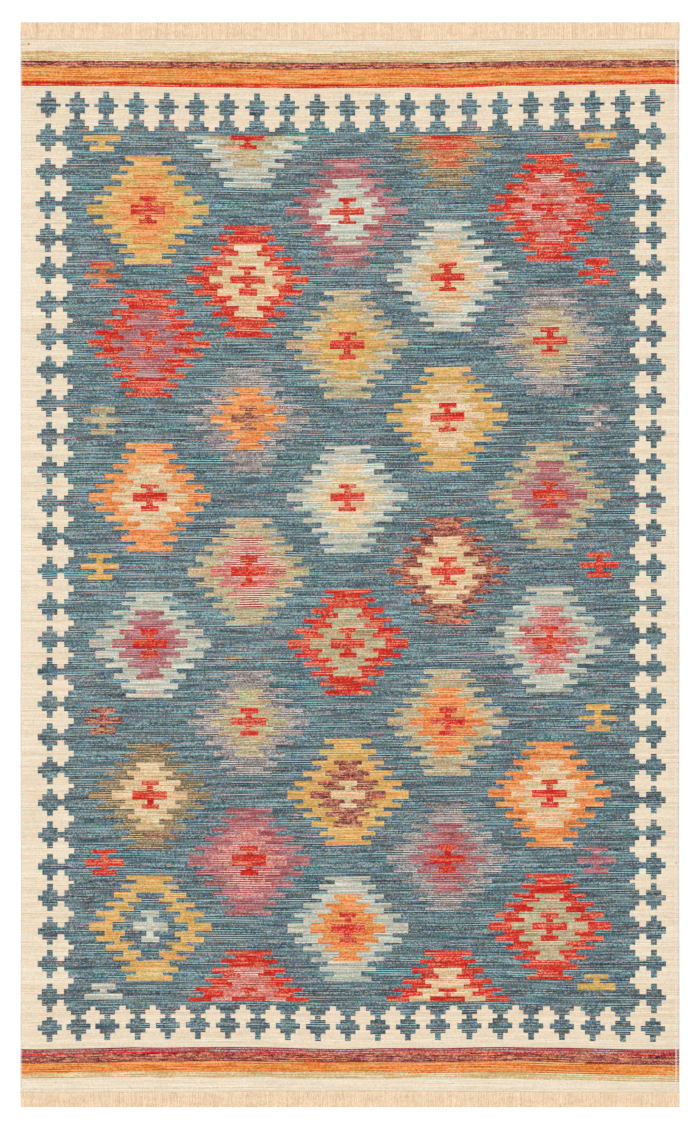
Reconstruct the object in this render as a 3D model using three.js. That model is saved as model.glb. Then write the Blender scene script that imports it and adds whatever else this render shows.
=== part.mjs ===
import * as THREE from "three";

// A flat-woven rug that lies flat, face up, with a cut fringe at both ends. Millimetres, +Z up. X runs across
// the rug along the wefts, Y runs along the warps to the far end. The underside lies in the plane Z = 0.

// The cloth: a 5 x 8 ft weave. The far fringe is left a little longer than the near one, and the origin is the
// middle of the whole rug, so the cloth's own middle lies just short of it.
const clothWidth = 1524;
const clothLength = 2435;
const clothThickness = 3;
const farFringeLength = 39.5;
const nearFringeLength = 35.5;
const overallLength = clothLength + farFringeLength + nearFringeLength;
const clothCentreY = (nearFringeLength - farFringeLength) / 2;
const edgeRound = 0.9;
const edgeRoundSteps = 2;

// The long edges wander a little, and both ends bow: the wefts were beaten in further at mid-width.
const sideWander = 0.4;
const sideWaves = 3;
const rightSidePhase = 0;
const leftSidePhase = 1.1;
const endBow = 1.6;
const endRipple = 0.35;
const endRipples = 5;
const sideStations = 24;
const endStations = 20;

// The fringe: loose yarn in locks that fan a little either way, cut straight at the tips.
const locksPerEnd = 150;
const rootBand = 6;
const fringeThickness = 2.2;
const tipThickness = 1.5;
const lockRootWidth = 7.4;
const lockTipWidth = 5.6;
const lockLean = 2.6;
const locksPerLeanWave = 11;
const lockJitter = 0.7;
const jitterTurn = 2.4;
const farLeanPhase = 0.8;
const nearLeanPhase = 2.9;
const clearGap = 0.3;

const creamWool = 0xecdcc0;
const fringeCotton = 0xe9d0ab;

// How far an end of the cloth lies outside (+) its mean line at x.
function endWander(x) {
  const across = (2 * x) / clothWidth;
  return -endBow * Math.cos(Math.PI * across) + endRipple * Math.sin(Math.PI * endRipples * across);
}

// How far a long edge lies inside its widest line at y, between 0 and twice the wander.
function sideInset(y, phase) {
  return sideWander * (1 + Math.sin((2 * Math.PI * sideWaves * y) / clothLength + phase));
}

// Evenly spaced stations from one value to another, without the last.
function stations(from, to, count) {
  return Array.from({ length: count }, (_, i) => from + ((to - from) * i) / count);
}

// The cloth's outline, anticlockwise from its near left corner.
function clothOutline() {
  const halfWidth = clothWidth / 2 - edgeRound;
  const halfLength = clothLength / 2 - edgeRound;
  return [
    ...stations(-1, 1, endStations).map((t) => {
      const x = t * halfWidth;
      return new THREE.Vector2(x, clothCentreY - halfLength - endWander(-x));
    }),
    ...stations(-1, 1, sideStations).map((t) => {
      const y = t * halfLength;
      return new THREE.Vector2(halfWidth - sideInset(y, rightSidePhase), clothCentreY + y);
    }),
    ...stations(1, -1, endStations).map((t) => {
      const x = t * halfWidth;
      return new THREE.Vector2(x, clothCentreY + halfLength + endWander(x));
    }),
    ...stations(1, -1, sideStations).map((t) => {
      const y = t * halfLength;
      return new THREE.Vector2(-halfWidth + sideInset(y, leftSidePhase), clothCentreY + y);
    }),
  ];
}

// The woven sheet, with its edges rounded over. The bevel grows the outline by edgeRound on every side.
function makeCloth() {
  const geometry = new THREE.ExtrudeGeometry(new THREE.Shape(clothOutline()), {
    depth: clothThickness - 2 * edgeRound,
    bevelEnabled: true,
    bevelThickness: edgeRound,
    bevelSize: edgeRound,
    bevelSegments: edgeRoundSteps,
  });
  geometry.translate(0, 0, edgeRound);
  const material = new THREE.MeshStandardMaterial({ color: creamWool, roughness: 0.95, metalness: 0 });
  return new THREE.Mesh(geometry, material);
}

// How far a lock's tip leans along X: neighbours lean alike, in waves, with a little of its own.
function leanOf(lock, phase) {
  const wave = Math.sin((2 * Math.PI * lock) / locksPerLeanWave + phase);
  const own = Math.sin(jitterTurn * lock + phase);
  return lockLean * wave + lockJitter * own;
}

// One fringe as a comb lying on the floor: a root band that follows the cloth's end, and locks with gaps
// between them. It is made for the far end. Its length is from the cloth's mean end to the tips, and phase sets
// how its locks lean.
function makeFringe(length, phase) {
  const tipY = overallLength / 2;
  const edgeY = (x) => tipY - length + endWander(x) + clearGap;
  const pitch = clothWidth / locksPerEnd;
  const halfWidth = clothWidth / 2;
  const comb = stations(-1, 1, endStations).map((t) => {
    const x = t * halfWidth;
    return new THREE.Vector2(x, edgeY(x));
  });
  comb.push(new THREE.Vector2(halfWidth, edgeY(halfWidth)));
  for (let lock = locksPerEnd - 1; lock >= 0; lock -= 1) {
    const rootX = -halfWidth + (lock + 0.5) * pitch;
    const outermost = lock === 0 || lock === locksPerEnd - 1;
    const tipX = rootX + (outermost ? 0 : leanOf(lock, phase));
    const rootY = edgeY(rootX) + rootBand;
    comb.push(new THREE.Vector2(rootX + lockRootWidth / 2, rootY));
    comb.push(new THREE.Vector2(tipX + lockTipWidth / 2, tipY));
    comb.push(new THREE.Vector2(tipX - lockTipWidth / 2, tipY));
    comb.push(new THREE.Vector2(rootX - lockRootWidth / 2, rootY));
  }
  const geometry = new THREE.ExtrudeGeometry(new THREE.Shape(comb), {
    depth: fringeThickness,
    bevelEnabled: false,
  });

  // The upper faces fall towards the tips, where the yarn thins out. The underside stays level.
  const points = geometry.attributes.position;
  for (let i = 0; i < points.count; i += 1) {
    const atTip = points.getY(i) > tipY - rootBand;
    if (atTip && points.getZ(i) > 0) points.setZ(i, tipThickness);
  }
  geometry.computeVertexNormals();
  const material = new THREE.MeshStandardMaterial({ color: fringeCotton, roughness: 1, metalness: 0 });
  return new THREE.Mesh(geometry, material);
}

const rug = new THREE.Group();

const cloth = makeCloth();
cloth.name = "kilim_cloth";
rug.add(cloth);

const farFringe = makeFringe(farFringeLength, farLeanPhase);
farFringe.name = "fringe_far_end";
rug.add(farFringe);

// The near fringe is the same comb with its own lean, turned half round about Z.
const nearFringe = makeFringe(nearFringeLength, nearLeanPhase);
nearFringe.name = "fringe_near_end";
nearFringe.rotation.z = Math.PI;
rug.add(nearFringe);

export default rug;
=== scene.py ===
import math
import random
from functools import cache, partial

import bpy
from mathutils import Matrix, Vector, noise


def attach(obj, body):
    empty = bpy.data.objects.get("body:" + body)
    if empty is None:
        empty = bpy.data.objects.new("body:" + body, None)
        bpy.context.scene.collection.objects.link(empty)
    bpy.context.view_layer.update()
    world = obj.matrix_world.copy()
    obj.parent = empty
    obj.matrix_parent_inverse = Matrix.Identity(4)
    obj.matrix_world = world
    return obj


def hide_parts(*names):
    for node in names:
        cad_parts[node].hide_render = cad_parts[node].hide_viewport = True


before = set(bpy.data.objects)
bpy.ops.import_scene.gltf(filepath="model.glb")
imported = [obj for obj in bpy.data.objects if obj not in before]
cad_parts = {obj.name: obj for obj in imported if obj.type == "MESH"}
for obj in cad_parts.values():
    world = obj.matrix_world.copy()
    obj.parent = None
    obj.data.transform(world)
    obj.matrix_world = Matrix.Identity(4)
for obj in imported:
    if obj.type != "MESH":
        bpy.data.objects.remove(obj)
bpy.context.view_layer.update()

scene = bpy.context.scene
mm = 0.001

# The cloth's size and outline, the same as in the CAD source.
rug = {
    "width": 1524 * mm,
    "length": 2435 * mm,
    "centreY": -2 * mm,
    "thickness": 3 * mm,
    "fringeTipY": 1255 * mm,
    "endRipple": 0.35 * mm,
    "endRipples": 5,
    "sideWander": 0.4 * mm,
    "sideWaves": 3,
    "rightSidePhase": 0.0,
    "leftSidePhase": 1.1,
}
halfWidth = rug["width"] / 2
farEndY = rug["centreY"] + rug["length"] / 2

# How the cloth is woven. A pick is one pass of weft; picks are counted from the far end.
weave = {
    "picks": 956,
    "ribTop": 0.15 * mm,         # how far the ribs stand above the cloth's thickness
    "ribHeight": 0.34 * mm,
    "edgeDrop": 0.75 * mm,
    "edgeInset": 0.5 * mm,
    "underInset": 0.7 * mm,
    "edgeBand": 2.5 * mm,
    "wallMiddle": 0.45,          # how high the widest line of the walls lies, of the thickness
    "wallRunOn": 1.6 * mm,       # how far the weave runs on down to it
    "stationPitch": 72 * mm,     # extra points along a pick, so that it can wander
    "stationClear": 20 * mm,
    "calmPicks": 8,              # picks at each end over which the wandering grows
    "bandPicks": 20,             # most picks in one band of the underside
    "leanFrom": 0.3,             # where the lean starts, in half widths, and over how much it grows
    "leanOver": 0.9,
    "sidesHold": 0.045,          # share of the half width over which the sides hold the lean back
    "shortestSpan": 2.2 * mm,
    "raggedShare": 0.04,         # share of picks whose end strays a little
    "raggedReach": 3 * mm,
    "stepUnevenness": 0.2,
    "starUnevenness": 0.12,
    "barStray": 1.3 * mm,
    "bakeWidth": 0.994,          # share of the bake map that the cloth fills
    "bakeLength": 0.996,
    "seed": 11,
}
# How the picks wander, slowly and quickly: how far, over what length and picks, and the layer of noise.
wanders = [(1.0 * mm, 220 * mm, 30, 1.7), (1.8 * mm, 75 * mm, 10, 5.2)]
pickPitch = rug["length"] / weave["picks"]

# How far the picks run off level, in mm, downwards in the picture: tilt is right end against left end, bow
# is middle against ends, and wave is middle and ends against the quarters. Lean is how far the left part of
# the pattern has moved to the right.
drift = {
    "pick": [0, 20, 40, 60, 84, 150, 276, 415, 550, 687, 808, 870, 895, 918, 945, 956],
    "tilt": [0, -2, -3.5, -5.2, -2.9, -4.6, -5.8, -7.5, -7.9, -6.2, -0.4, 1.2, 3.7, 1.7, 2.5, 0],
    "bow": [3.2, 6.2, 7.5, 8.6, 6.6, 5.1, 5.1, 3, 1.2, -0.5, 3.5, -0.9, -2, -1.9, -3.2, -3.2],
    "wave": [0, 0.8, 0, -1.2, 0, 0, 0, 0, 0, 0, 0, 1.5, 5.9, 4.5, 3.5, 0],
    "lean": [0, 0.5, 0.8, 0.8, 0, -1.2, 1.8, 3.3, 4, 4.6, 4.2, 3.6, 3.8, 3.6, 3.6, 3.6],
}


@cache
def driftAt(pick, column):
    picks = drift["pick"]
    values = drift[column]
    for i in range(len(picks) - 1):
        if pick <= picks[i + 1]:
            t = (pick - picks[i]) / (picks[i + 1] - picks[i])
            t = t * t * (3 - 2 * t)
            return (values[i] + (values[i + 1] - values[i]) * t) * mm
    return values[-1] * mm


def sideInset(y, phase):
    turn = 2 * math.pi * rug["sideWaves"] * (y - rug["centreY"]) / rug["length"] + phase
    return rug["sideWander"] * (1 + math.sin(turn))


# Where a point of the weave lies: x along the weft if the rug were perfectly square, pick from the far end.
def clothPoint(x, pick):
    across = x / halfWidth
    tilt, bow, wave, lean = [driftAt(pick, column) for column in ("tilt", "bow", "wave", "lean")]
    drop = (tilt * across + bow * math.cos(math.pi * across) + wave * math.cos(2 * math.pi * across)) / 2
    drop -= rug["endRipple"] * math.sin(math.pi * rug["endRipples"] * across)
    calm = min(1, pick / weave["calmPicks"], (weave["picks"] - pick) / weave["calmPicks"])
    for reach, length, picks, layer in wanders:
        drop += calm * reach * noise.noise(Vector((x / length, pick / picks, layer)))
    y = farEndY - pick * pickPitch - drop
    phase = rug["rightSidePhase"] if x > 0 else rug["leftSidePhase"]
    lean *= min(1, max(0, weave["leanFrom"] - across) / weave["leanOver"])
    lean *= min(1, (1 - abs(across)) / weave["sidesHold"])
    return x * (1 - sideInset(y, phase) / halfWidth) + lean, y


# The stripes across each end: the pick where each begins at the left and at the right side, and its yarn.
endStripes = [
    (0, 0, "cream"), (11.4, 9.5, "khaki"), (20.5, 19.5, "plumLine"), (21.5, 20.5, "maroonMix"),
    (25.4, 26.8, "stripeOrange"), (39, 39, "stripeRed"), (43, 43, "cream"),
    (915.6, 915.8, "pinkLine"), (919.6, 920.3, "stripeRed"), (920.8, 921.4, "maroonMix"),
    (928, 928.8, "plumLine"), (928.9, 929.6, "stripeOrange"), (937.5, 939.2, "khaki"),
    (943.1, 945.1, "cream"),
]

# The border stars: half widths of a star's steps, and where the stars stand, in runs of first star, count
# and spacing: down the sides in picks, and across the ends in mm.
stars = {
    "arm": 6.8 * mm,
    "body": 17.8 * mm,
    "wide": 28 * mm,
    "stepPicks": [5.4, 4.5, 5.5, 4.5, 5.4],
    "sideX": [-698.8 * mm, 703.4 * mm],
    "sideRuns": [(89.8, 13, 30), (481.6, 2, 32.1), (543.4, 12, 29.63)],
    "creamNeck": 33.4 * mm,      # how far the cream runs in beside each step of a side star
    "creamBody": 43 * mm,
    "creamTip": 55.5 * mm,
    "endRuns": [(-698.5, 3, 66.8), (-494.5, 11, 69.8), (276.5, 5, 71.3), (631.5, 2, 69.5)],
    "fieldStart": 83,
    "fieldEnd": 878,
}

# The steps of the stars across the ends, and of the necks that join them to the field.
endSteps = [
    (48, 54, "arm"), (54, 59, "body"), (59, 62, "wide"), (62, 68, "body"), (68, 73, "arm"),
    (73, 79, "body"), (79, 83, "wide"), (878, 882, "wide"), (882, 886, "body"),
    (886, 890, "arm"), (890, 894, "body"), (894, 899, "wide"), (899, 903, "body"), (903, 909, "arm"),
]
cornerPicks = [(48, 72), (887, 909)]         # the picks of the corner stars, which have no neck

# One medallion, from its tip to its middle: half widths in mm of the outer, inner and core colours.
medallion = {
    "outer": [53.7, 31.5, 65.4, 46.3, 84.2, 62.0, 102.9, 83.0, 124.6, 104.3, 141.3],
    "inner": [0, 0, 0, 0, 33.1, 21.3, 51.3, 37.5, 70.3, 57.6, 87.9],
    "core": [0, 0, 0, 0, 0, 0, 0, 0, 20.4, 7.6, 40.2],
    "middleShare": 1.75,         # height of the middle bar against the others
    "firstPick": 87,
    "lastPick": 874,
}

# The small side figure, from top to bottom.
smallFigure = {"half": [27.5, 7.8, 43.8, 7.8, 28.3], "picks": [5, 4.5, 5.3, 4, 5]}

# Columns of medallions: middle in mm, and for each medallion its middle pick, its height in picks and the
# colours of outer, inner and core.
columns = [
    (-467, [
        (154.7, 98, "gold orange red"), (276.3, 97.5, "red plumPink red"), (414.9, 97.5, "orange ecru red"),
        (548, 96, "mint plumPink brightRed"), (686, 96.5, "oliveBrown ecru red"),
        (806, 95.5, "gold fieldBlue mint")]),
    (-236.4, [
        (86.8, 94, "mint oliveBeige red"), (217.4, 101, "red ecru red"),
        (343.8, 95, "lilac orange brownPlum"), (482.4, 97, "oliveBeige rose brightRed"),
        (619.4, 97, "lilac oliveBeige red"), (745, 97, "plumPink lightPink brightRed"),
        (873.7, 94, "red rose red")]),
    (-6.2, [
        (155.4, 98, "plumPink mint red"), (276.1, 97.5, "oliveBeige gold red"),
        (415, 97.5, "mint peach red"), (548.4, 96, "red oliveBeige red"),
        (686, 96.5, "gold maroonBrown ecru"), (806.4, 95.5, "mint orange red")]),
    (226.2, [
        (85.7, 94, "oliveBrown rust red"), (215.2, 101, "mint ecru red"), (343, 95, "gold ecru red"),
        (482.4, 97, "maroonBrown ecru red"), (619.5, 97, "oliveBeige orange red"),
        (744.2, 97, "lilac plumPink brightRed"), (873, 94, "red ecru red")]),
    (462.4, [
        (153.3, 98, "red rose red"), (274.7, 97.5, "lilac oliveBeige red"),
        (414.3, 97.5, "oliveBeige plumPink brightRed"), (547.9, 96, "mint lightPink brightRed"),
        (685.4, 96.5, "orange ecru red"), (805.6, 95.5, "red oliveBeige red")]),
]
# The small figures: the pick of the long bar's middle, how far it stands off the column in mm, the yarn, and
# which of the five bars are there.
figures = [
    (-574, [
        (89.7, 0, "gold", (2, 5)), (214.5, 0.5, "rust", (0, 5)), (345.6, 0, "oliveBeige", (0, 5)),
        (477.8, -8.5, "gold", (0, 5)), (617.9, -1, "maroonBrown", (0, 5)), (747.5, 1.5, "brightRed", (0, 5)),
        (869.5, 0, "mint", (0, 3))]),
    (573.8, [
        (88.3, 0, "gold", (2, 5)), (213.2, -2, "red", (0, 5)), (345.5, 0, "lilac", (0, 5)),
        (478.5, 3.5, "brightRed", (0, 5)), (617, 0, "gold", (0, 5)), (746.3, -3, "plumPink", (0, 5)),
        (860.2, -3.5, "gold", (0, 3))]),
]

# Knots of another yarn that show as specks: first pick, middle in mm and yarn.
knots = {
    "width": 5 * mm,
    "picks": 2,
    "places": [(4, -743, "knotRed"), (748, 755, "knotRed"), (903, 755, "orange")],
}


def runsOf(runs):
    return [first + i * spacing for first, count, spacing in runs for i in range(count)]


# The picks of each step of a figure about its middle pick: each step a little uneven but the whole as given.
def stepPicks(middlePick, heights, rng, unevenness):
    loose = [height * (1 + rng.uniform(-1, 1) * unevenness) for height in heights]
    scale = sum(heights) / sum(loose)
    edges = [0]
    for height in loose:
        edges.append(edges[-1] + height * scale)
    middle = len(heights) // 2
    top = middlePick - (edges[middle] + edges[middle + 1]) / 2
    return [range(round(top + a), round(top + b)) for a, b in zip(edges, edges[1:])]


# Lays one yarn over a stretch of a pick, over whatever was there.
def layYarn(pickSpans, start, end, yarn):
    kept = []
    for a, b, old in pickSpans:
        if a < start:
            kept.append((a, min(b, start), old))
        if b > end:
            kept.append((max(a, end), b, old))
    kept.append((start, end, yarn))
    kept.sort()
    return kept


# Neighbours of one yarn become one span, and slivers go to the span before them.
def tidySpans(pickSpans):
    merged = []
    for a, b, yarn in pickSpans:
        a = round(a, 5)
        b = round(b, 5)
        if merged and (merged[-1][2] == yarn or b - a < weave["shortestSpan"]):
            merged[-1] = (merged[-1][0], b, merged[-1][2])
        else:
            merged.append((a, b, yarn))
    return merged


# The pattern of the whole rug: for every pick, the yarns from left to right.
def drawPattern(ragged):
    rng = random.Random(weave["seed"])
    picks = [[(-halfWidth, halfWidth, "cream")] for _ in range(weave["picks"])]

    def lay(pick, start, end, yarn):
        picks[pick] = layYarn(picks[pick], start, end, yarn)

    def bar(pick, middle, half, yarn, strays=(0, 0)):
        left = middle - half + strays[0]
        right = middle + half + strays[1]
        if ragged and rng.random() < weave["raggedShare"]:
            left += rng.uniform(-1, 1) * weave["raggedReach"]
        if ragged and rng.random() < weave["raggedShare"]:
            right += rng.uniform(-1, 1) * weave["raggedReach"]
        lay(pick, left, right, yarn)

    def starStep(pick, middle, kind):
        lay(pick, middle - stars[kind], middle + stars[kind], "fieldBlue")

    # A sloping stripe gains a pick wherever it has drifted that far.
    for left, right, yarn in endStripes:
        for pick in range(int(min(left, right)), weave["picks"]):
            middle = pick + 0.5
            if middle >= max(left, right):
                picks[pick] = [(-halfWidth, halfWidth, yarn)]
            elif middle > min(left, right):
                turn = (2 * (middle - left) / (right - left) - 1) * halfWidth
                start, end = (-halfWidth, turn) if left < right else (turn, halfWidth)
                lay(pick, start, end, yarn)

    # The steps of the side stars.
    kinds = ["gap"] * weave["picks"]
    for middlePick in runsOf(stars["sideRuns"]):
        steps = stepPicks(middlePick, stars["stepPicks"], rng, weave["starUnevenness"])
        for kind, step in zip(("arm", "body", "wide", "body", "arm"), steps):
            for pick in step:
                kinds[pick] = kind

    # The field, with the cream running in between the side stars.
    creamReach = {"wide": 0, "body": stars["creamNeck"], "arm": stars["creamBody"], "gap": stars["creamTip"]}
    leftX, rightX = stars["sideX"]
    for pick in range(stars["fieldStart"], stars["fieldEnd"]):
        reach = creamReach[kinds[pick]]
        lay(pick, leftX + reach, rightX - reach, "fieldBlue")
    for sideX in stars["sideX"]:
        for pick, kind in enumerate(kinds):
            if kind != "gap":
                starStep(pick, sideX, kind)

    # The stars across both ends.
    endX = runsOf(stars["endRuns"])
    for x in endX:
        inCorner = x in (endX[0], endX[-1])
        for start, stop, kind in endSteps:
            for pick in range(start, stop):
                if not inCorner or any(first <= pick < last for first, last in cornerPicks):
                    starStep(pick, x * mm, kind)

    # The medallions, cut by the ends of the field.
    middleRow = len(medallion["outer"]) - 1
    rowShares = [1] * middleRow + [medallion["middleShare"]] + [1] * middleRow
    for middle, column in columns:
        for middlePick, height, colouring in column:
            rng = random.Random(weave["seed"] + middle + 10 * middlePick)
            share = height / sum(rowShares)
            rows = stepPicks(middlePick, [part * share for part in rowShares], rng, weave["stepUnevenness"])
            for i, row in enumerate(rows):
                step = min(i, 2 * middleRow - i)
                strays = [rng.uniform(-1, 1) * weave["barStray"] for _ in range(2)]
                for pick in row:
                    if not medallion["firstPick"] <= pick < medallion["lastPick"]:
                        continue
                    for yarn, part in zip(colouring.split(), ("outer", "inner", "core")):
                        half = medallion[part][step] * mm
                        if half:
                            bar(pick, middle * mm, half, yarn, strays)

    # The small figures and the knots.
    for middle, column in figures:
        for middlePick, aside, yarn, (firstBar, lastBar) in column:
            rows = stepPicks(middlePick, smallFigure["picks"], rng, weave["stepUnevenness"])
            for i in range(firstBar, lastBar):
                for pick in rows[i]:
                    bar(pick, (middle + aside) * mm, smallFigure["half"][i] * mm, yarn)
    for firstPick, middle, yarn in knots["places"]:
        for pick in range(firstPick, firstPick + knots["picks"]):
            bar(pick, middle * mm, knots["width"] / 2, yarn)
    return [tidySpans(pickSpans) for pickSpans in picks]


# Splits every span where the pick needs extra points.
def stationsOf(pickSpans):
    edges = [pickSpans[0][0]] + [b for a, b, yarn in pickSpans]
    joins = edges[1:-1]
    count = int(halfWidth / weave["stationPitch"])
    grid = [i * weave["stationPitch"] for i in range(-count, count + 1)]
    grid += [weave["edgeBand"] - halfWidth, halfWidth - weave["edgeBand"]]
    for x in grid:
        x = round(x, 5)
        if all(abs(x - edge) > weave["stationClear"] for edge in joins):
            edges.append(x)
    return sorted(edges)


def yarnAt(pickSpans, x):
    return next((yarn for a, b, yarn in pickSpans if a <= x <= b), pickSpans[-1][2])


# The points of each line between two rows: those of the row above and of the row below.
def seamsOf(rows):
    return [sorted({*above, *below}) for above, below in zip([[], *rows], [*rows, []])]


# The cloth as one closed mesh: a ridge along every pick and a groove between picks on top, and a flat
# underside that repeats the pattern, woven through.
def weaveCloth(yarnNames):
    points = []
    weaveUv = []
    index = {}
    faces = []
    faceYarns = []
    lastPick = weave["picks"]
    # height of each layer of points, how far in it lies at the edges, and how far the weave runs on to it
    layers = {
        "top": (rug["thickness"] + weave["ribTop"], weave["edgeInset"], 0),
        "middle": (rug["thickness"] * weave["wallMiddle"], 0, weave["wallRunOn"]),
        "under": (0, weave["underInset"], 0),
    }

    def point(layer, x, pick):
        key = (layer, x, round(pick * 2))
        if key in index:
            return index[key]
        px, py = clothPoint(x, pick)
        outX = math.copysign(1, x) if abs(x) > halfWidth - 1e-6 else 0
        outY = {0: 1, lastPick: -1}.get(pick, 0)
        z, inset, runOn = layers[layer]
        if layer == "top" and pick == round(pick):
            z -= weave["ribHeight"]
        if layer == "top" and (outX or outY):
            z -= weave["edgeDrop"]
        index[key] = len(points)
        points.append((px - outX * inset, py - outY * inset, z))
        weaveUv.append((x + outX * runOn, pick - outY * runOn / pickPitch))
        return index[key]

    def addFace(corners, yarn, turned=False):
        faces.append(corners[::-1] if turned else corners)
        faceYarns.append(yarnNames.index(yarn))

    patternRows = drawPattern(True)
    stations = [stationsOf(pickSpans) for pickSpans in patternRows]
    grooves = seamsOf(stations)
    for i in range(lastPick):
        for a, b in zip(stations[i], stations[i][1:]):
            yarn = yarnAt(patternRows[i], (a + b) / 2)
            above = [point("top", x, i) for x in grooves[i] if a <= x <= b]
            below = [point("top", x, i + 1) for x in grooves[i + 1] if a <= x <= b]
            ridge = [point("top", a, i + 0.5), point("top", b, i + 0.5)]
            addFace(ridge + above[::-1], yarn)
            addFace(below + ridge[::-1], yarn)

    # the underside: picks that are alike share one band
    plainRows = drawPattern(False)
    bands = [0]
    for i in range(1, lastPick):
        if plainRows[i] != plainRows[i - 1] or i - bands[-1] >= weave["bandPicks"]:
            bands.append(i)
    bands.append(lastPick)
    bandStations = [stationsOf(plainRows[start]) for start in bands[:-1]]
    seams = seamsOf(bandStations)
    for j, (start, stop) in enumerate(zip(bands, bands[1:])):
        for a, b in zip(bandStations[j], bandStations[j][1:]):
            yarn = yarnAt(plainRows[start], (a + b) / 2)
            above = [point("under", x, start) for x in seams[j] if a <= x <= b]
            below = [point("under", x, stop) for x in seams[j + 1] if a <= x <= b]
            addFace(above + below[::-1], yarn)

    # the walls: two steps down each long edge and across each end
    for side in (-halfWidth, halfWidth):
        for i in range(lastPick):
            yarn = yarnAt(patternRows[i], side)
            upper = [point("top", side, i), point("top", side, i + 0.5), point("top", side, i + 1)]
            corners = upper + [point("middle", side, i + 1), point("middle", side, i)]
            addFace(corners, yarn, side > 0)
        for start, stop in zip(bands, bands[1:]):
            yarn = yarnAt(plainRows[start], side)
            upper = [point("middle", side, i) for i in range(start, stop + 1)]
            corners = upper + [point("under", side, stop), point("under", side, start)]
            addFace(corners, yarn, side > 0)
    for pick, row in ((0, 0), (lastPick, lastPick - 1)):
        for a, b in zip(stations[row], stations[row][1:]):
            yarn = yarnAt(patternRows[row], (a + b) / 2)
            for high, low in (("top", "middle"), ("middle", "under")):
                corners = [point(layer, x, pick) for layer, x in ((high, a), (high, b), (low, b), (low, a))]
                addFace(corners, yarn, pick == 0)
    return points, faces, faceYarns, weaveUv


# Node helpers: a link where a socket is given, also in a vector, and otherwise a fixed value.
def feed(tree, socket, value):
    if isinstance(value, tuple) and any(isinstance(part, bpy.types.NodeSocket) for part in value):
        value = addNode(tree, "ShaderNodeCombineXYZ", dict(zip("XYZ", value))).outputs[0]
    if isinstance(value, bpy.types.NodeSocket):
        tree.links.new(value, socket)
    else:
        socket.default_value = value


def addNode(tree, kind, inputs=None, **settings):
    node = tree.nodes.new(kind)
    for name, value in settings.items():
        setattr(node, name, value)
    for key, value in (inputs or {}).items():
        feed(tree, node.inputs[key], value)
    return node


def calc(tree, operation, *values, kind="ShaderNodeMath"):
    node = addNode(tree, kind, operation=operation)
    for socket, value in zip(node.inputs, values):
        feed(tree, socket, value)
    return node.outputs[0]


mathVector = partial(calc, kind="ShaderNodeVectorMath")


def addSockets(tree, way, kind, *names):
    for name in names:
        tree.interface.new_socket(name, in_out=way, socket_type="NodeSocket" + kind)


def softNoise(tree, vector, detail=0.0):
    node = addNode(tree, "ShaderNodeTexNoise", {"Vector": vector, "Scale": 1.0, "Detail": detail},
                   noise_dimensions="3D")
    return node.outputs[0]


# The same noise about zero, scaled for its detail so that it mostly stays within one either way.
def evenNoise(tree, vector, detail=0):
    scale = (7.5, 10.0, 11.5)[detail]
    return calc(tree, "MULTIPLY", calc(tree, "SUBTRACT", softNoise(tree, vector, detail), 0.5), scale)


def arrange(tree):
    for i, node in enumerate(tree.nodes):
        node.location = ((i % 8) * 220 - 900, 500 - (i // 8) * 260)


# Lengths along the yarn over which its look changes, and how much each kind of change counts.
yarnGrain = {
    "tint": 30 * mm,
    "fleck": 3.6 * mm,
    "shimmerPatch": 190 * mm,
    "mixPatch": 200 * mm,
    "blotch": 75 * mm,
    "warpPitch": 3.3 * mm,
    "mixShare": 0.85,            # how much two yarns differ, and how much that changes
    "mixWaver": 0.35,
    "fibresAlong": 1100.0,       # in a metre, and across in a pick
    "fibresAcross": 2.4,
    "fibreSlant": 1.6,
    "fibreTone": 0.05,
    "fibreRelief": 0.16,
    "beadRelief": 0.5,
    "beadShade": 0.22,           # how dark the painted shade in the dips between warps is
    "fadeAlong": 0.055,          # how much the tone falls over the rug's length and width
    "fadeAcross": 0.03,
    "redderTint": 0.5,
    "redderPick": 0.35,
    "redderFleck": 0.4,
    "redderDye": 0.7,
    "redderShare": 0.45,         # of all of these, and of what is reddest
    "reddestShare": 0.2,
    "redderRest": -0.1,
    "bluerTint": 0.8,
    "bluerFleck": 0.6,
}

# How uneven a wool is: the share of its tone range that each kind of change takes.
mixColumns = ("Two Yarns", "Shimmer", "Streak", "Streak Length", "Blotch", "Row", "Fleck", "Fade")
yarnMixes = {
    "field": (0.1, 0.12, 0.105, 70 * mm, 0.015, 0.06, 0.13, 1.0),
    "plain": (0.03, 0.09, 0.12, 70 * mm, 0.03, 0.06, 0.12, 1.0),
    "calm": (0.01, 0.05, 0.05, 75 * mm, 0.015, 0.065, 0.07, 0.2),
    "smooth": (0.035, 0.065, 0.095, 110 * mm, 0.015, 0.07, 0.085, 1.0),
    "mixed": (0.14, 0.06, 0.09, 70 * mm, 0.06, 0.04, 0.11, 0.8),
    "marled": (0.03, 0.1, 0.14, 25 * mm, 0.02, 0.04, 0.13, 0.5),
    "twoYarns": (0.18, 0.06, 0.08, 60 * mm, 0.04, 0.04, 0.12, 0.8),
    "inTurn": (0.27, 0.04, 0.06, 60 * mm, 0.03, 0.03, 0.08, 0.8),
}


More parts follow.
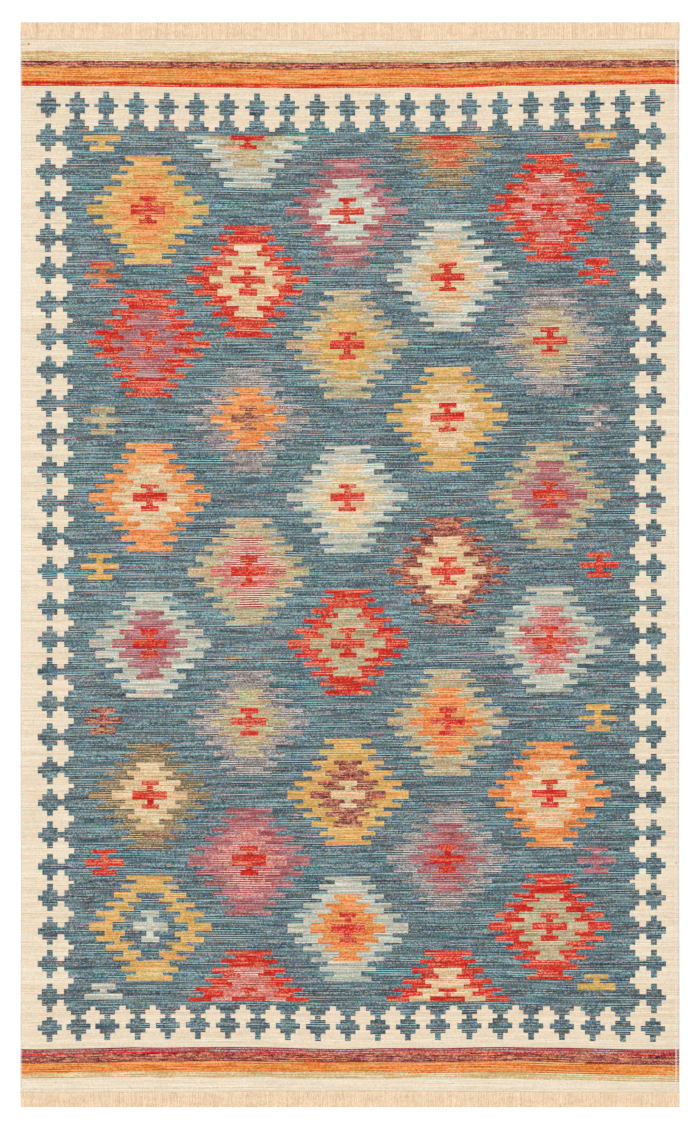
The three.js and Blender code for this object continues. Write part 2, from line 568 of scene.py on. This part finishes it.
# The tone of the weft at a point, shared by all the wool materials. Each pick is one yarn with its own
# tone, streaked and flecked along its length, and picks of two yarns alternate where the wool is mixed.
def makeWeftTone():
    tree = bpy.data.node_groups.new("weftTone", "ShaderNodeTree")
    do = partial(calc, tree)
    times = partial(do, "MULTIPLY")
    scaleAdd = partial(do, "MULTIPLY_ADD")
    addSockets(tree, "INPUT", "Float", *mixColumns, "Seed")
    addSockets(tree, "OUTPUT", "Float", "Tone", "Redness", "Blueness", "Groove", "Relief")
    given = addNode(tree, "NodeGroupInput").outputs
    place = addNode(tree, "ShaderNodeUVMap", uv_map="weave").outputs[0]
    parts = addNode(tree, "ShaderNodeSeparateXYZ", {"Vector": place}).outputs
    along = parts["X"]
    pick = do("FLOOR", parts["Y"])
    within = do("FRACT", parts["Y"])
    seedShift = times(given["Seed"], 17.3)

    # noise along one pick that has nothing to do with the next pick
    def ownNoise(length, jump, detail):
        stretch = do("DIVIDE", along, length)
        return evenNoise(tree, (stretch, times(pick, jump), seedShift), detail)

    # noise over a patch of several picks
    def patchNoise(length, picks, shift, detail):
        stretch = do("DIVIDE", along, yarnGrain[length])
        return evenNoise(tree, (stretch, do("DIVIDE", pick, picks), do("ADD", seedShift, shift)), detail)

    # a number from -1.7 to 1.7 for each pick
    def pickChance(shift):
        value = addNode(tree, "ShaderNodeTexWhiteNoise", {"W": do("ADD", pick, shift)},
                        noise_dimensions="1D").outputs["Value"]
        return scaleAdd(value, 3.4, -1.7)

    # every second pick is darker: always where two yarns are mixed, and here and there elsewhere
    side = scaleAdd(do("FLOORED_MODULO", pick, 2.0), 2.0, -1.0)
    mixing = patchNoise("mixPatch", 14.0, 0.0, 0)
    mixing = scaleAdd(mixing, yarnGrain["mixWaver"], yarnGrain["mixShare"])
    mixing = times(mixing, given["Two Yarns"])
    shimmer = times(patchNoise("shimmerPatch", 7.0, 9.0, 1), given["Shimmer"])
    tone = scaleAdd(side, do("ADD", mixing, shimmer), 0.5)

    fleck = ownNoise(yarnGrain["fleck"], 2.93, 1)
    for part, share in ((ownNoise(given["Streak Length"], 3.71, 2), "Streak"),
                        (patchNoise("blotch", 5.5, 5.0, 1), "Blotch"),
                        (pickChance(seedShift), "Row"), (fleck, "Fleck")):
        tone = scaleAdd(part, given[share], tone)

    # the dye is a little stronger towards the near right corner
    fade = scaleAdd(pick, -yarnGrain["fadeAlong"] / weave["picks"], yarnGrain["fadeAlong"] / 2)
    fade = scaleAdd(along, -yarnGrain["fadeAcross"] / rug["width"], fade)
    tone = scaleAdd(fade, given["Fade"], tone)

    # hue: stretches of a pick are more or less red, some much redder, and picks of two dyes alternate
    dyes = times(side, patchNoise("shimmerPatch", 6.0, 13.0, 1))
    redness = 0.0
    for part, share in ((ownNoise(yarnGrain["tint"], 4.17, 1), "redderTint"),
                        (pickChance(401.5), "redderPick"),
                        (ownNoise(yarnGrain["fleck"], 5.39, 1), "redderFleck"), (dyes, "redderDye")):
        redness = scaleAdd(part, yarnGrain[share], redness)
    reddest = do("POWER", do("MAXIMUM", redness, 0.0), 2.0)
    reddest = scaleAdd(reddest, yarnGrain["reddestShare"], yarnGrain["redderRest"])
    redness = scaleAdd(redness, yarnGrain["redderShare"], reddest)
    blueness = times(ownNoise(yarnGrain["tint"], 6.91, 1), yarnGrain["bluerTint"])
    blueness = scaleAdd(ownNoise(yarnGrain["fleck"], 7.73, 1), yarnGrain["bluerFleck"], blueness)

    # the pick dips between warps, half a step on from the pick before, and its fibres are twisted; the dips
    # also get painted shade
    waver = scaleAdd(fleck, 0.5, times(side, math.pi / 2))
    bead = do("SINE", scaleAdd(along, 2 * math.pi / yarnGrain["warpPitch"], waver))
    slant = times(within, yarnGrain["fibreSlant"])
    slant = scaleAdd(along, yarnGrain["fibresAlong"], slant)
    across = times(parts["Y"], yarnGrain["fibresAcross"])
    twist = evenNoise(tree, (slant, across, seedShift))
    relief = times(bead, yarnGrain["beadRelief"])
    relief = scaleAdd(twist, yarnGrain["fibreRelief"], relief)
    tone = scaleAdd(twist, yarnGrain["fibreTone"], tone)
    # painted shade: darkest in the grooves between picks, and darker in the dips between warps
    paintedShade = do("POWER", do("ABSOLUTE", scaleAdd(within, 2.0, -1.0)), 3.0)
    paintedShade = scaleAdd(scaleAdd(bead, -0.5, 0.2), yarnGrain["beadShade"], paintedShade)

    ends = addNode(tree, "NodeGroupOutput", {"Tone": tone, "Redness": redness, "Blueness": blueness,
                                             "Groove": paintedShade, "Relief": relief})
    ends.is_active_output = True
    arrange(tree)
    return tree


# The wools: dark, middle and light tone, 0 to 255 as seen, their mix, and how much their hue wavers.
wools = {
    "fieldBlue": ((74, 85, 93), (99, 118, 124), (135, 155, 158), "field", 1.9),
    "cream": ((230, 209, 179), (241, 223, 198), (249, 234, 211), "calm", 0.4),
    "khaki": ((210, 171, 114), (225, 190, 137), (238, 211, 166), "mixed", 0.8),
    "maroonMix": ((126, 50, 54), (170, 86, 75), (204, 124, 98), "marled", 1.4),
    "plumLine": ((98, 40, 54), (122, 60, 68), (164, 96, 88), "plain", 1.2),
    "stripeOrange": ((224, 117, 37), (242, 145, 63), (250, 167, 95), "plain", 1.1),
    "stripeRed": ((204, 13, 12), (218, 40, 24), (238, 98, 60), "plain", 1.2),
    "pinkLine": ((162, 50, 54), (186, 96, 96), (194, 142, 142), "twoYarns", 1.2),
    "gold": ((203, 154, 79), (221, 172, 96), (233, 190, 123), "plain", 1.1),
    "orange": ((220, 121, 59), (240, 149, 83), (248, 173, 111), "plain", 1.2),
    "red": ((202, 13, 11), (213, 47, 35), (227, 108, 84), "plain", 1.2),
    "brightRed": ((200, 13, 11), (212, 45, 35), (226, 98, 74), "plain", 1.2),
    "knotRed": ((222, 62, 24), (236, 92, 44), (240, 120, 76), "plain", 0.5),
    "mint": ((166, 166, 151), (196, 195, 178), (221, 219, 202), "smooth", 0.9),
    "ecru": ((210, 170, 120), (225, 194, 148), (239, 212, 175), "plain", 1.0),
    "peach": ((208, 180, 133), (227, 202, 157), (245, 222, 189), "smooth", 0.8),
    "oliveBeige": ((169, 148, 112), (193, 174, 134), (212, 195, 160), "plain", 1.2),
    "oliveBrown": ((112, 91, 70), (147, 125, 96), (182, 160, 124), "twoYarns", 0.9),
    "rose": ((181, 74, 72), (216, 124, 112), (244, 174, 159), "inTurn", 1.2),
    "lightPink": ((181, 81, 80), (205, 126, 121), (225, 163, 154), "twoYarns", 1.1),
    "plumPink": ((158, 74, 81), (174, 107, 110), (197, 142, 143), "mixed", 1.3),
    "brownPlum": ((130, 68, 64), (178, 112, 90), (220, 148, 108), "twoYarns", 1.1),
    "maroonBrown": ((124, 58, 60), (169, 96, 82), (203, 134, 108), "marled", 1.4),
    "lilac": ((118, 107, 108), (155, 145, 142), (190, 180, 174), "twoYarns", 0.9),
    "rust": ((188, 80, 50), (206, 108, 66), (222, 140, 98), "plain", 1.0),
}

woolFinish = {
    "contrast": 2.1,             # how far the ends of the tone range lie beyond the dark and light tones
    "redder": (0.2, -0.06, -0.1),
    "bluer": (-0.007, -0.003, 0.06),
    "palest": (0.96, 0.96, 0.96),
    "roughness": 0.92,
    "roughnessFall": 0.12,       # how much smoother the lightest yarn is than the darkest
    "sheen": 0.12,
    # grooveShade: how dark the painted shade in the grooves between picks is
    "grooveShade": 0.5,
    "reliefBump": 0.4,
    "reliefHeight": 0.25 * mm,
}
cottonFinish = {
    "fibreTone": 2.0,
    "darkGrain": (300, 90, 0),   # how often a yarn with painted gap shade comes and goes
    "darkWaver": 0.04,
    "darkTone": -1.6,
    "patchGrain": (28, 90, 0),
    "roughness": 0.98,
    "roughnessFall": 0.1,
    "sheen": 0.1,
    "bump": 0.3,
    "bumpHeight": 0.2 * mm,
}
fibreFinish = {"sheenRoughness": 0.6, "specular": 0.12}      # of wool and cotton alike


def seen(colour):
    linear = [((c / 255 + 0.055) / 1.055) ** 2.4 if c > 10 else c / 255 / 12.92 for c in colour]
    return (*linear, 1.0)


def newMaterial(name):
    material = bpy.data.materials.new(name)
    material.use_nodes = True
    material.node_tree.nodes.clear()
    return material, material.node_tree


def fibreShader(tree, colour, normal, roughness, sheen):
    shader = addNode(tree, "ShaderNodeBsdfPrincipled", {
        "Base Color": colour, "Normal": normal, "Roughness": roughness, "Sheen Weight": sheen,
        "Sheen Roughness": fibreFinish["sheenRoughness"], "Specular IOR Level": fibreFinish["specular"]})
    addNode(tree, "ShaderNodeOutputMaterial", {"Surface": shader.outputs[0]})
    arrange(tree)


def toneRamp(tree, tone, dark, middle, light):
    ramp = addNode(tree, "ShaderNodeValToRGB", {"Fac": tone})
    stops = ramp.color_ramp.elements
    stops.new(0.5)
    for stop, place, colour in zip(stops, (0.1, 0.5, 0.9), (dark, middle, light)):
        stop.position = place
        stop.color = seen(colour)
    return ramp.outputs["Color"]


def beyond(end, middle, contrast):
    return [min(255, max(0, m + (e - m) * contrast)) for e, m in zip(end, middle)]


def makeWool(name, wool, weftTone, seed):
    dark, middle, light, mix, waver = wool
    material, tree = newMaterial(name + "Wool")
    do = partial(calc, tree)
    weft = addNode(tree, "ShaderNodeGroup", node_tree=weftTone)
    for socket, share in zip(mixColumns, yarnMixes[mix]):
        weft.inputs[socket].default_value = share
    weft.inputs["Seed"].default_value = seed
    contrast = woolFinish["contrast"]
    colour = toneRamp(tree, weft.outputs["Tone"], beyond(dark, middle, contrast), middle,
                      beyond(light, middle, contrast))
    hue = ()
    for redder, bluer in zip(woolFinish["redder"], woolFinish["bluer"]):
        share = do("MULTIPLY_ADD", weft.outputs["Redness"], redder * waver, 1.0)
        hue += (do("MULTIPLY_ADD", weft.outputs["Blueness"], bluer * waver, share),)
    # painted shade: the colour is darkened in the grooves between picks and in the dips between warps
    shade = do("MULTIPLY_ADD", weft.outputs["Groove"], -woolFinish["grooveShade"], 1.0)
    colour = mathVector(tree, "MULTIPLY", colour, hue)
    colour = mathVector(tree, "MULTIPLY", mathVector(tree, "MINIMUM", colour, woolFinish["palest"]), shade)
    bump = addNode(tree, "ShaderNodeBump", {
        "Strength": woolFinish["reliefBump"], "Height": weft.outputs["Relief"],
        "Distance": woolFinish["reliefHeight"]})
    fall = woolFinish["roughnessFall"]
    rough = do("MULTIPLY_ADD", weft.outputs["Tone"], -fall, woolFinish["roughness"] + fall / 2)
    fibreShader(tree, colour, bump.outputs[0], rough, woolFinish["sheen"])
    return material


def addPiece(name, data):
    piece = bpy.data.objects.new(name, data)
    scene.collection.objects.link(piece)
    return piece


def buildCloth():
    yarnNames = list(wools)
    points, faces, faceYarns, weaveUv = weaveCloth(yarnNames)
    mesh = bpy.data.meshes.new("woven_cloth")
    mesh.from_pydata(points, [], faces)
    weftTone = makeWeftTone()
    for i, name in enumerate(yarnNames):
        mesh.materials.append(makeWool(name, wools[name], weftTone, i))
    mesh.polygons.foreach_set("material_index", faceYarns)
    mesh.polygons.foreach_set("use_smooth", [True] * len(faces))
    corners = [v for face in faces for v in face]
    bakeUv = [(0.5 + u / rug["width"] * weave["bakeWidth"],
               0.5 - (p / weave["picks"] - 0.5) * weave["bakeLength"]) for u, p in weaveUv]
    for name, uv in (("weave", weaveUv), ("OFBake", bakeUv)):
        mesh.uv_layers.new(name=name).data.foreach_set("uv", [c for v in corners for c in uv[v]])
    mesh.uv_layers.active = mesh.uv_layers["weave"]
    mesh.update()
    return addPiece("woven_cloth", mesh)


cloth = buildCloth()
triangles = sum(len(face.vertices) - 2 for face in cloth.data.polygons)
print("cloth woven:", len(cloth.data.polygons), "faces,", triangles, "triangles")


# Points along the far or near end of the cloth, left to right, or along a long side.
def endPath(pick, inset, z):
    count = 120
    path = []
    for i in range(count + 1):
        x = (2 * i / count - 1) * halfWidth
        px, py = clothPoint(x, pick)
        path.append((px, py + inset, z))
    return path


def sidePath(x, z):
    return [(*clothPoint(x, pick), z) for pick in range(1, weave["picks"], 6)]


def pathMesh(name, paths):
    points = []
    edges = []
    for path in paths:
        start = len(points)
        points += path
        edges += [(start + i, start + i + 1) for i in range(len(path) - 1)]
    mesh = bpy.data.meshes.new(name)
    mesh.from_pydata(points, edges, [])
    return mesh


# A tree with inputs of each kind, their names parted by commas.
def nodesTree(name, **inputs):
    tree = bpy.data.node_groups.new(name, "GeometryNodeTree")
    addSockets(tree, "INPUT", "Geometry", "Geometry")
    addSockets(tree, "OUTPUT", "Geometry", "Geometry")
    for kind, names in inputs.items():
        addSockets(tree, "INPUT", kind, *names.split(", "))
    return tree, addNode(tree, "NodeGroupInput").outputs


def geometry(tree, kind, inputs=None, **settings):
    return addNode(tree, "GeometryNode" + kind, inputs, **settings).outputs[0]


# The shared end of both trees: smooth plain mesh in its material.
def finishTree(tree, shape, material):
    shape = geometry(tree, "SetShadeSmooth", {"Geometry": shape})
    shape = geometry(tree, "RealizeInstances", {"Geometry": shape})
    shape = geometry(tree, "SetMaterial", {"Geometry": shape, "Material": material})
    addNode(tree, "NodeGroupOutput", {"Geometry": shape})
    arrange(tree)
    return tree


# Runs a tree on a path and gives back the plain mesh. The input Yarn Count takes the value yarnCount, and
# the others likewise.
def growPiece(name, paths, tree, values):
    piece = addPiece(name, pathMesh(name, paths))
    modifier = piece.modifiers.new(tree.name, "NODES")
    modifier.node_group = tree
    for item in tree.interface.items_tree:
        key = item.name[0].lower() + item.name[1:].replace(" ", "")
        if item.in_out == "INPUT" and key in values:
            modifier[item.identifier] = values[key]
    evaluated = piece.evaluated_get(bpy.context.evaluated_depsgraph_get())
    grown = bpy.data.meshes.new_from_object(evaluated)
    piece.modifiers.remove(modifier)
    piece.data = grown
    grown.name = name
    grown.calc_loop_triangles()
    print(name, "grown:", len(grown.loop_triangles), "triangles")
    return piece


fringe = {
    "yarnCount": 3200,
    "yarnWidth": 0.62 * mm,      # half the width and height of the yarn
    "yarnHeight": 0.36 * mm,
    "rootInset": 1.2 * mm,
    "rootRise": 0.4 * mm,
    "archRise": 0.3 * mm,
    "archSpan": 3.1,             # the stretch of a sine that the arch is, and how late a yarn leans
    "bends": (0.8, 1.7),
    "tipStray": 0.4 * mm,
    "sway": 1.2 * mm,
    "swayLength": 40 * mm,
    "lockWidth": 7.4 * mm,
    "lockStray": 1.2 * mm,
    "gather": 0.15,
    "lean": 1.6 * mm,
    "ownLean": 3.2 * mm,
    "layerRise": 0.6 * mm,
    "sideLimit": halfWidth,
    "cornerReach": 45 * mm,
    "cornerSpread": 0.7,
    "tones": ((222, 190, 152), (239, 215, 185), (247, 226, 199)),
    "grain": (900, 380, 300),
    "ownShare": 0.36,
    "patchShare": 0.055,
    "darkShare": 0.03,           # share of the yarns painted dark, as painted shade of the gaps between yarns
}


# Loose fringe yarns from a root path to a straight-cut tip line: a flat layer that covers the ground, and
# a looser layer on it whose yarns lean either way and cross.
def makeFringeTree():
    tree, given = nodesTree(
        "fringeYarns", Int="Yarn Count, Seed", Material="Material",
        Float="Yarn Width, Yarn Height, Tip Line, Lock Width, Gather, Lean, Own Lean, Layer Rise, "
              "Side Limit, Corner Reach, Corner Spread")
    do = partial(calc, tree)
    times = partial(do, "MULTIPLY")
    scaleAdd = partial(do, "MULTIPLY_ADD")
    make = partial(geometry, tree)
    roots = make("MeshToCurve", {"Mesh": given["Geometry"]})
    roots = make("ResampleCurve", {"Curve": roots, "Count": given["Yarn Count"]})
    capture = addNode(tree, "GeometryNodeCaptureAttribute", {"Geometry": roots}, domain="POINT")
    capture.capture_items.new("VECTOR", "Root")
    capture.capture_items.new("INT", "Yarn")
    feed(tree, capture.inputs["Root"], make("InputPosition"))
    feed(tree, capture.inputs["Yarn"], make("InputIndex"))
    line = make("ResampleCurve", {"Curve": make("CurvePrimitiveLine", {"End": (0, 1, 0)}), "Count": 5})
    yarns = make("InstanceOnPoints", {"Points": capture.outputs["Geometry"], "Instance": line})
    yarns = make("RealizeInstances", {"Geometry": yarns})
    root = addNode(tree, "ShaderNodeSeparateXYZ", {"Vector": capture.outputs["Root"]}).outputs
    yarn = capture.outputs["Yarn"]
    factor = make("SplineParameter")
    seedShift = times(given["Seed"], 3.3)

    def chance(shift, low, high):
        node = addNode(tree, "FunctionNodeRandomValue", data_type="FLOAT")
        feed(tree, node.inputs[2], low)
        feed(tree, node.inputs[3], high)
        feed(tree, node.inputs["ID"], yarn)
        feed(tree, node.inputs["Seed"], do("ADD", given["Seed"], shift))
        return node.outputs[1]

    # the flat layer sways gently as one; each lock of the loose layer leans its own way, more or less
    loose = do("FLOORED_MODULO", yarn, 2.0)
    sway = evenNoise(tree, (do("DIVIDE", root["X"], fringe["swayLength"]), 0.0, seedShift))
    lock = do("ADD", root["X"], chance(1, -fringe["lockStray"], fringe["lockStray"]))
    lock = do("FLOOR", do("DIVIDE", lock, given["Lock Width"]))
    lockMiddle = times(do("ADD", lock, 0.5), given["Lock Width"])
    lockSway = evenNoise(tree, (times(lock, 0.83), 4.0, seedShift), 1)
    lean = times(lockSway, given["Lean"])
    lean = scaleAdd(chance(2, -1.0, 1.0), given["Own Lean"], lean)
    pull = times(do("SUBTRACT", lockMiddle, root["X"]), given["Gather"])
    ownShift = times(do("ADD", lean, pull), loose)
    shiftX = scaleAdd(sway, fringe["sway"], ownShift)

    # at the corners the loose yarns spread outwards, as far as the edge lets them
    room = do("MAXIMUM", do("SUBTRACT", given["Side Limit"], do("ABSOLUTE", root["X"])), 0.0)
    near = do("MAXIMUM", do("SUBTRACT", 1.0, do("DIVIDE", room, given["Corner Reach"])), 0.0)
    spread = times(times(times(room, near), given["Corner Spread"]), loose)
    shiftX = scaleAdd(do("SIGN", root["X"]), spread, shiftX)
    x = scaleAdd(shiftX, do("POWER", factor, chance(3, *fringe["bends"])), root["X"])
    x = do("MAXIMUM", x, times(given["Side Limit"], -1.0))
    x = do("MINIMUM", x, given["Side Limit"])

    # cut at the tip line, sloping down from the root and arched a little
    tipY = do("ADD", given["Tip Line"], chance(4, -fringe["tipStray"], fringe["tipStray"]))
    y = scaleAdd(do("SUBTRACT", tipY, root["Y"]), factor, root["Y"])
    arch = times(do("SINE", times(factor, fringe["archSpan"])), chance(5, 0.0, fringe["archRise"]))
    low = scaleAdd(do("SUBTRACT", 1.0, factor), fringe["rootRise"], given["Yarn Height"])
    z = scaleAdd(loose, given["Layer Rise"], do("ADD", low, arch))
    yarns = make("SetPosition", {"Geometry": yarns, "Position": (x, y, z)})
    yarns = make("SetCurveNormal", {"Curve": yarns}, mode="Z_UP")
    profile = make("Transform", {
        "Geometry": make("CurvePrimitiveCircle", {"Resolution": 5, "Radius": 1.0}),
        "Scale": (given["Yarn Width"], given["Yarn Height"], 1.0)})
    yarns = make("CurveToMesh", {"Curve": yarns, "Profile Curve": profile, "Fill Caps": True})
    yarns = make("StoreNamedAttribute", {
        "Geometry": yarns, "Name": "yarnTone", "Value": chance(6, 0.0, 1.0)},
        data_type="FLOAT", domain="POINT")
    return finishTree(tree, yarns, given["Material"])


# Thread loops across a path, leaning one way and the other in turn: zigzag or overcast stitches.
def makeStitchTree():
    tree, given = nodesTree(
        "threadLoops", Float="Stitch Pitch, Reach, Rise, Start Angle, Sweep, Thread Radius, Slant, Stray",
        Vector="Middle", Int="Seed", Material="Material")
    do = partial(calc, tree)
    make = partial(geometry, tree)
    line = make("MeshToCurve", {"Mesh": given["Geometry"]})
    holes = make("ResampleCurve", {"Curve": line, "Length": given["Stitch Pitch"]}, mode="LENGTH")
    arc = make("CurveArc", {
        "Resolution": 6, "Radius": 1.0, "Start Angle": given["Start Angle"], "Sweep Angle": given["Sweep"]})
    arc = make("Transform", {
        "Geometry": arc, "Rotation": (math.pi / 2, 0, 0), "Translation": given["Middle"],
        "Scale": (given["Reach"], given["Rise"], 1.0)})
    profile = make("CurvePrimitiveCircle", {"Resolution": 5, "Radius": given["Thread Radius"]})
    loop = make("CurveToMesh", {"Curve": arc, "Profile Curve": profile, "Fill Caps": True})
    swing = addNode(tree, "FunctionNodeRandomValue", data_type="FLOAT")
    feed(tree, swing.inputs[2], do("MULTIPLY", given["Stray"], -1.0))
    feed(tree, swing.inputs[3], given["Stray"])
    feed(tree, swing.inputs["Seed"], given["Seed"])
    zigzag = do("MULTIPLY_ADD", do("FLOORED_MODULO", make("InputIndex"), 2.0), 2.0, -1.0)
    turn = do("MULTIPLY_ADD", zigzag, given["Slant"], swing.outputs[1])
    rotation = addNode(tree, "FunctionNodeEulerToRotation", {"Euler": (0.0, 0.0, turn)})
    stitches = make("InstanceOnPoints", {"Points": holes, "Instance": loop, "Rotation": rotation.outputs[0]})
    return finishTree(tree, stitches, given["Material"])


# Cotton for the fringe and the sewing: tone from Object coordinates and, in the fringe, from the yarn's own
# number, with some yarns painted dark in places as painted shade of the gaps between yarns.
def makeCotton(name, tones, grain, ownShare=0.0, patchShare=0.0, darkShare=0.0):
    material, tree = newMaterial(name)
    do = partial(calc, tree)
    place = addNode(tree, "ShaderNodeTexCoord").outputs["Object"]
    fibre = softNoise(tree, mathVector(tree, "MULTIPLY", place, grain), 2)
    tone = do("MULTIPLY_ADD", do("SUBTRACT", fibre, 0.5), cottonFinish["fibreTone"], 0.5)
    if ownShare:
        own = addNode(tree, "ShaderNodeAttribute", attribute_name="yarnTone").outputs["Fac"]
        tone = do("MULTIPLY_ADD", do("SUBTRACT", own, 0.5), ownShare, tone)
        # painted shade: some yarns turn dark in stretches, standing in for shaded gaps between yarns
        stretch = evenNoise(tree, mathVector(tree, "MULTIPLY", place, cottonFinish["darkGrain"]))
        dark = do("LESS_THAN", do("MULTIPLY_ADD", stretch, cottonFinish["darkWaver"], own), darkShare)
        tone = do("MULTIPLY_ADD", dark, cottonFinish["darkTone"], tone)
        patch = evenNoise(tree, mathVector(tree, "MULTIPLY", place, cottonFinish["patchGrain"]), 1)
        tone = do("MULTIPLY_ADD", patch, patchShare, tone)
    bump = addNode(tree, "ShaderNodeBump", {
        "Strength": cottonFinish["bump"], "Height": fibre, "Distance": cottonFinish["bumpHeight"]})
    rough = do("MULTIPLY_ADD", fibre, -cottonFinish["roughnessFall"], cottonFinish["roughness"])
    fibreShader(tree, toneRamp(tree, tone, *tones), bump.outputs[0], rough, cottonFinish["sheen"])
    return material


fringeTree = makeFringeTree()
fringeCotton = makeCotton("fringeCotton", fringe["tones"], fringe["grain"], fringe["ownShare"],
                          fringe["patchShare"], fringe["darkShare"])
fringes = {}
for name, pick, toTip, seed in (("fringe_far_yarns", 0, 1, 3), ("fringe_near_yarns", weave["picks"], -1, 8)):
    fringes[name] = growPiece(name, [endPath(pick, -toTip * fringe["rootInset"], 0)], fringeTree, {
        **fringe, "tipLine": toTip * rug["fringeTipY"], "seed": seed, "material": fringeCotton})

# The white thread along both long edges: it goes round the left edge and lies a little inside the right one.
edgeThread = {
    "stitchPitch": 2.1 * mm,
    "threadRadius": 0.52 * mm,
    "reach": 2.4 * mm,
    "slant": 0.3,
    "stray": 0.06,
    "tones": ((240, 224, 214), (250, 239, 231), (254, 249, 245)),
    "grain": (400, 900, 400),
}
leftThread = {
    "middle": (1.9 * mm, 0, 1.7 * mm),
    "rise": 1.95 * mm,
    "startAngle": 0.0,
    "sweep": 3.6,
    "seed": 5,
}
rightThread = {
    "middle": (-7.3 * mm, 0, 2.75 * mm),
    "rise": 0.8 * mm,
    "startAngle": math.pi,
    "sweep": -3.14,
    "seed": 6,
}
# The grey thread along each fringe root: a real seam thread, whose grey tone is partly painted shade of the
# seam.
rootThread = {
    "stitchPitch": 3.8 * mm,
    "threadRadius": 0.32 * mm,
    "reach": 1.5 * mm,
    "rise": 0.5 * mm,
    "slant": 0.05,
    "stray": 0.06,
    "middle": (0, 0, -0.55 * mm),
    "startAngle": math.pi,
    "sweep": -math.pi,
    "seed": 9,
    "inset": 1.1 * mm,
    "tones": ((176, 162, 142), (192, 178, 158), (206, 194, 176)),
    "grain": (900, 400, 400),
}
stitchTree = makeStitchTree()
edgeCotton = makeCotton("edgeThreadCotton", edgeThread["tones"], edgeThread["grain"])
rootCotton = makeCotton("rootThreadCotton", rootThread["tones"], rootThread["grain"])
rootPaths = [endPath(0, -rootThread["inset"], rug["thickness"]),
             endPath(weave["picks"], rootThread["inset"], rug["thickness"])]
sewing = []
for name, sideX, thread in (("left_edge_stitches", -halfWidth, leftThread),
                            ("right_edge_stitches", halfWidth, rightThread)):
    sewing.append(growPiece(name, [sidePath(sideX, 0)], stitchTree, {
        **edgeThread, **thread, "material": edgeCotton}))
sewing.append(growPiece("root_stitches", rootPaths, stitchTree, {**rootThread, "material": rootCotton}))

# Every piece joins the rug's one body.
for piece in (cloth, *fringes.values(), *sewing):
    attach(piece, "root")
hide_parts("kilim_cloth")
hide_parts("fringe_far_end")
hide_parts("fringe_near_end")

studio = {
    "floorSize": 90,
    "floorDrop": 0.2 * mm,
    "floorColour": (250, 250, 250),
    "floorRoughness": 0.9,
    "floorSpecular": 0.1,
    "skyStrength": 0.8,
    "sunStrength": 1.38,
    "sunSpread": 60,
    "sunTilt": (28, -24, 0),
    "frameHeight": 2.6117,
    "lens": 120,                 # in mm, as the sensor is
    "sensorWidth": 36,
    "viewReach": 200,
    "cameraShift": (0.2 * mm, 0.8 * mm),
}


def buildStudio():
    half = studio["floorSize"] / 2
    corners = [(-half, -half, 0), (half, -half, 0), (half, half, 0), (-half, half, 0)]
    mesh = bpy.data.meshes.new("floor")
    mesh.from_pydata(corners, [], [(0, 1, 2, 3)])
    floor = addPiece("floor", mesh)
    floor.location.z = -studio["floorDrop"]
    material = bpy.data.materials.new("paleFloor")
    material.use_nodes = True
    shader = material.node_tree.nodes["Principled BSDF"]
    shader.inputs["Base Color"].default_value = seen(studio["floorColour"])
    shader.inputs["Roughness"].default_value = studio["floorRoughness"]
    shader.inputs["Specular IOR Level"].default_value = studio["floorSpecular"]
    mesh.materials.append(material)

    sky = bpy.data.worlds.new("studioSky")
    sky.use_nodes = True
    background = sky.node_tree.nodes["Background"]
    background.inputs["Color"].default_value = (1, 1, 1, 1)
    background.inputs["Strength"].default_value = studio["skyStrength"]
    scene.world = sky
    sun = bpy.data.lights.new("softSun", "SUN")
    sun.energy = studio["sunStrength"]
    sun.angle = math.radians(studio["sunSpread"])
    lamp = addPiece("softSun", sun)
    lamp.rotation_euler = [math.radians(angle) for angle in studio["sunTilt"]]

    camera = bpy.data.cameras.new("camera")
    camera.lens = studio["lens"]
    camera.sensor_width = studio["sensorWidth"]
    eye = addPiece("camera", camera)
    distance = studio["frameHeight"] * studio["lens"] / camera.sensor_width
    eye.location = (*studio["cameraShift"], distance + rug["thickness"])
    camera.clip_end = studio["viewReach"]
    scene.camera = eye
    scene.view_settings.view_transform = "Standard"
    return floor


floor = buildStudio()
print("studio ready")
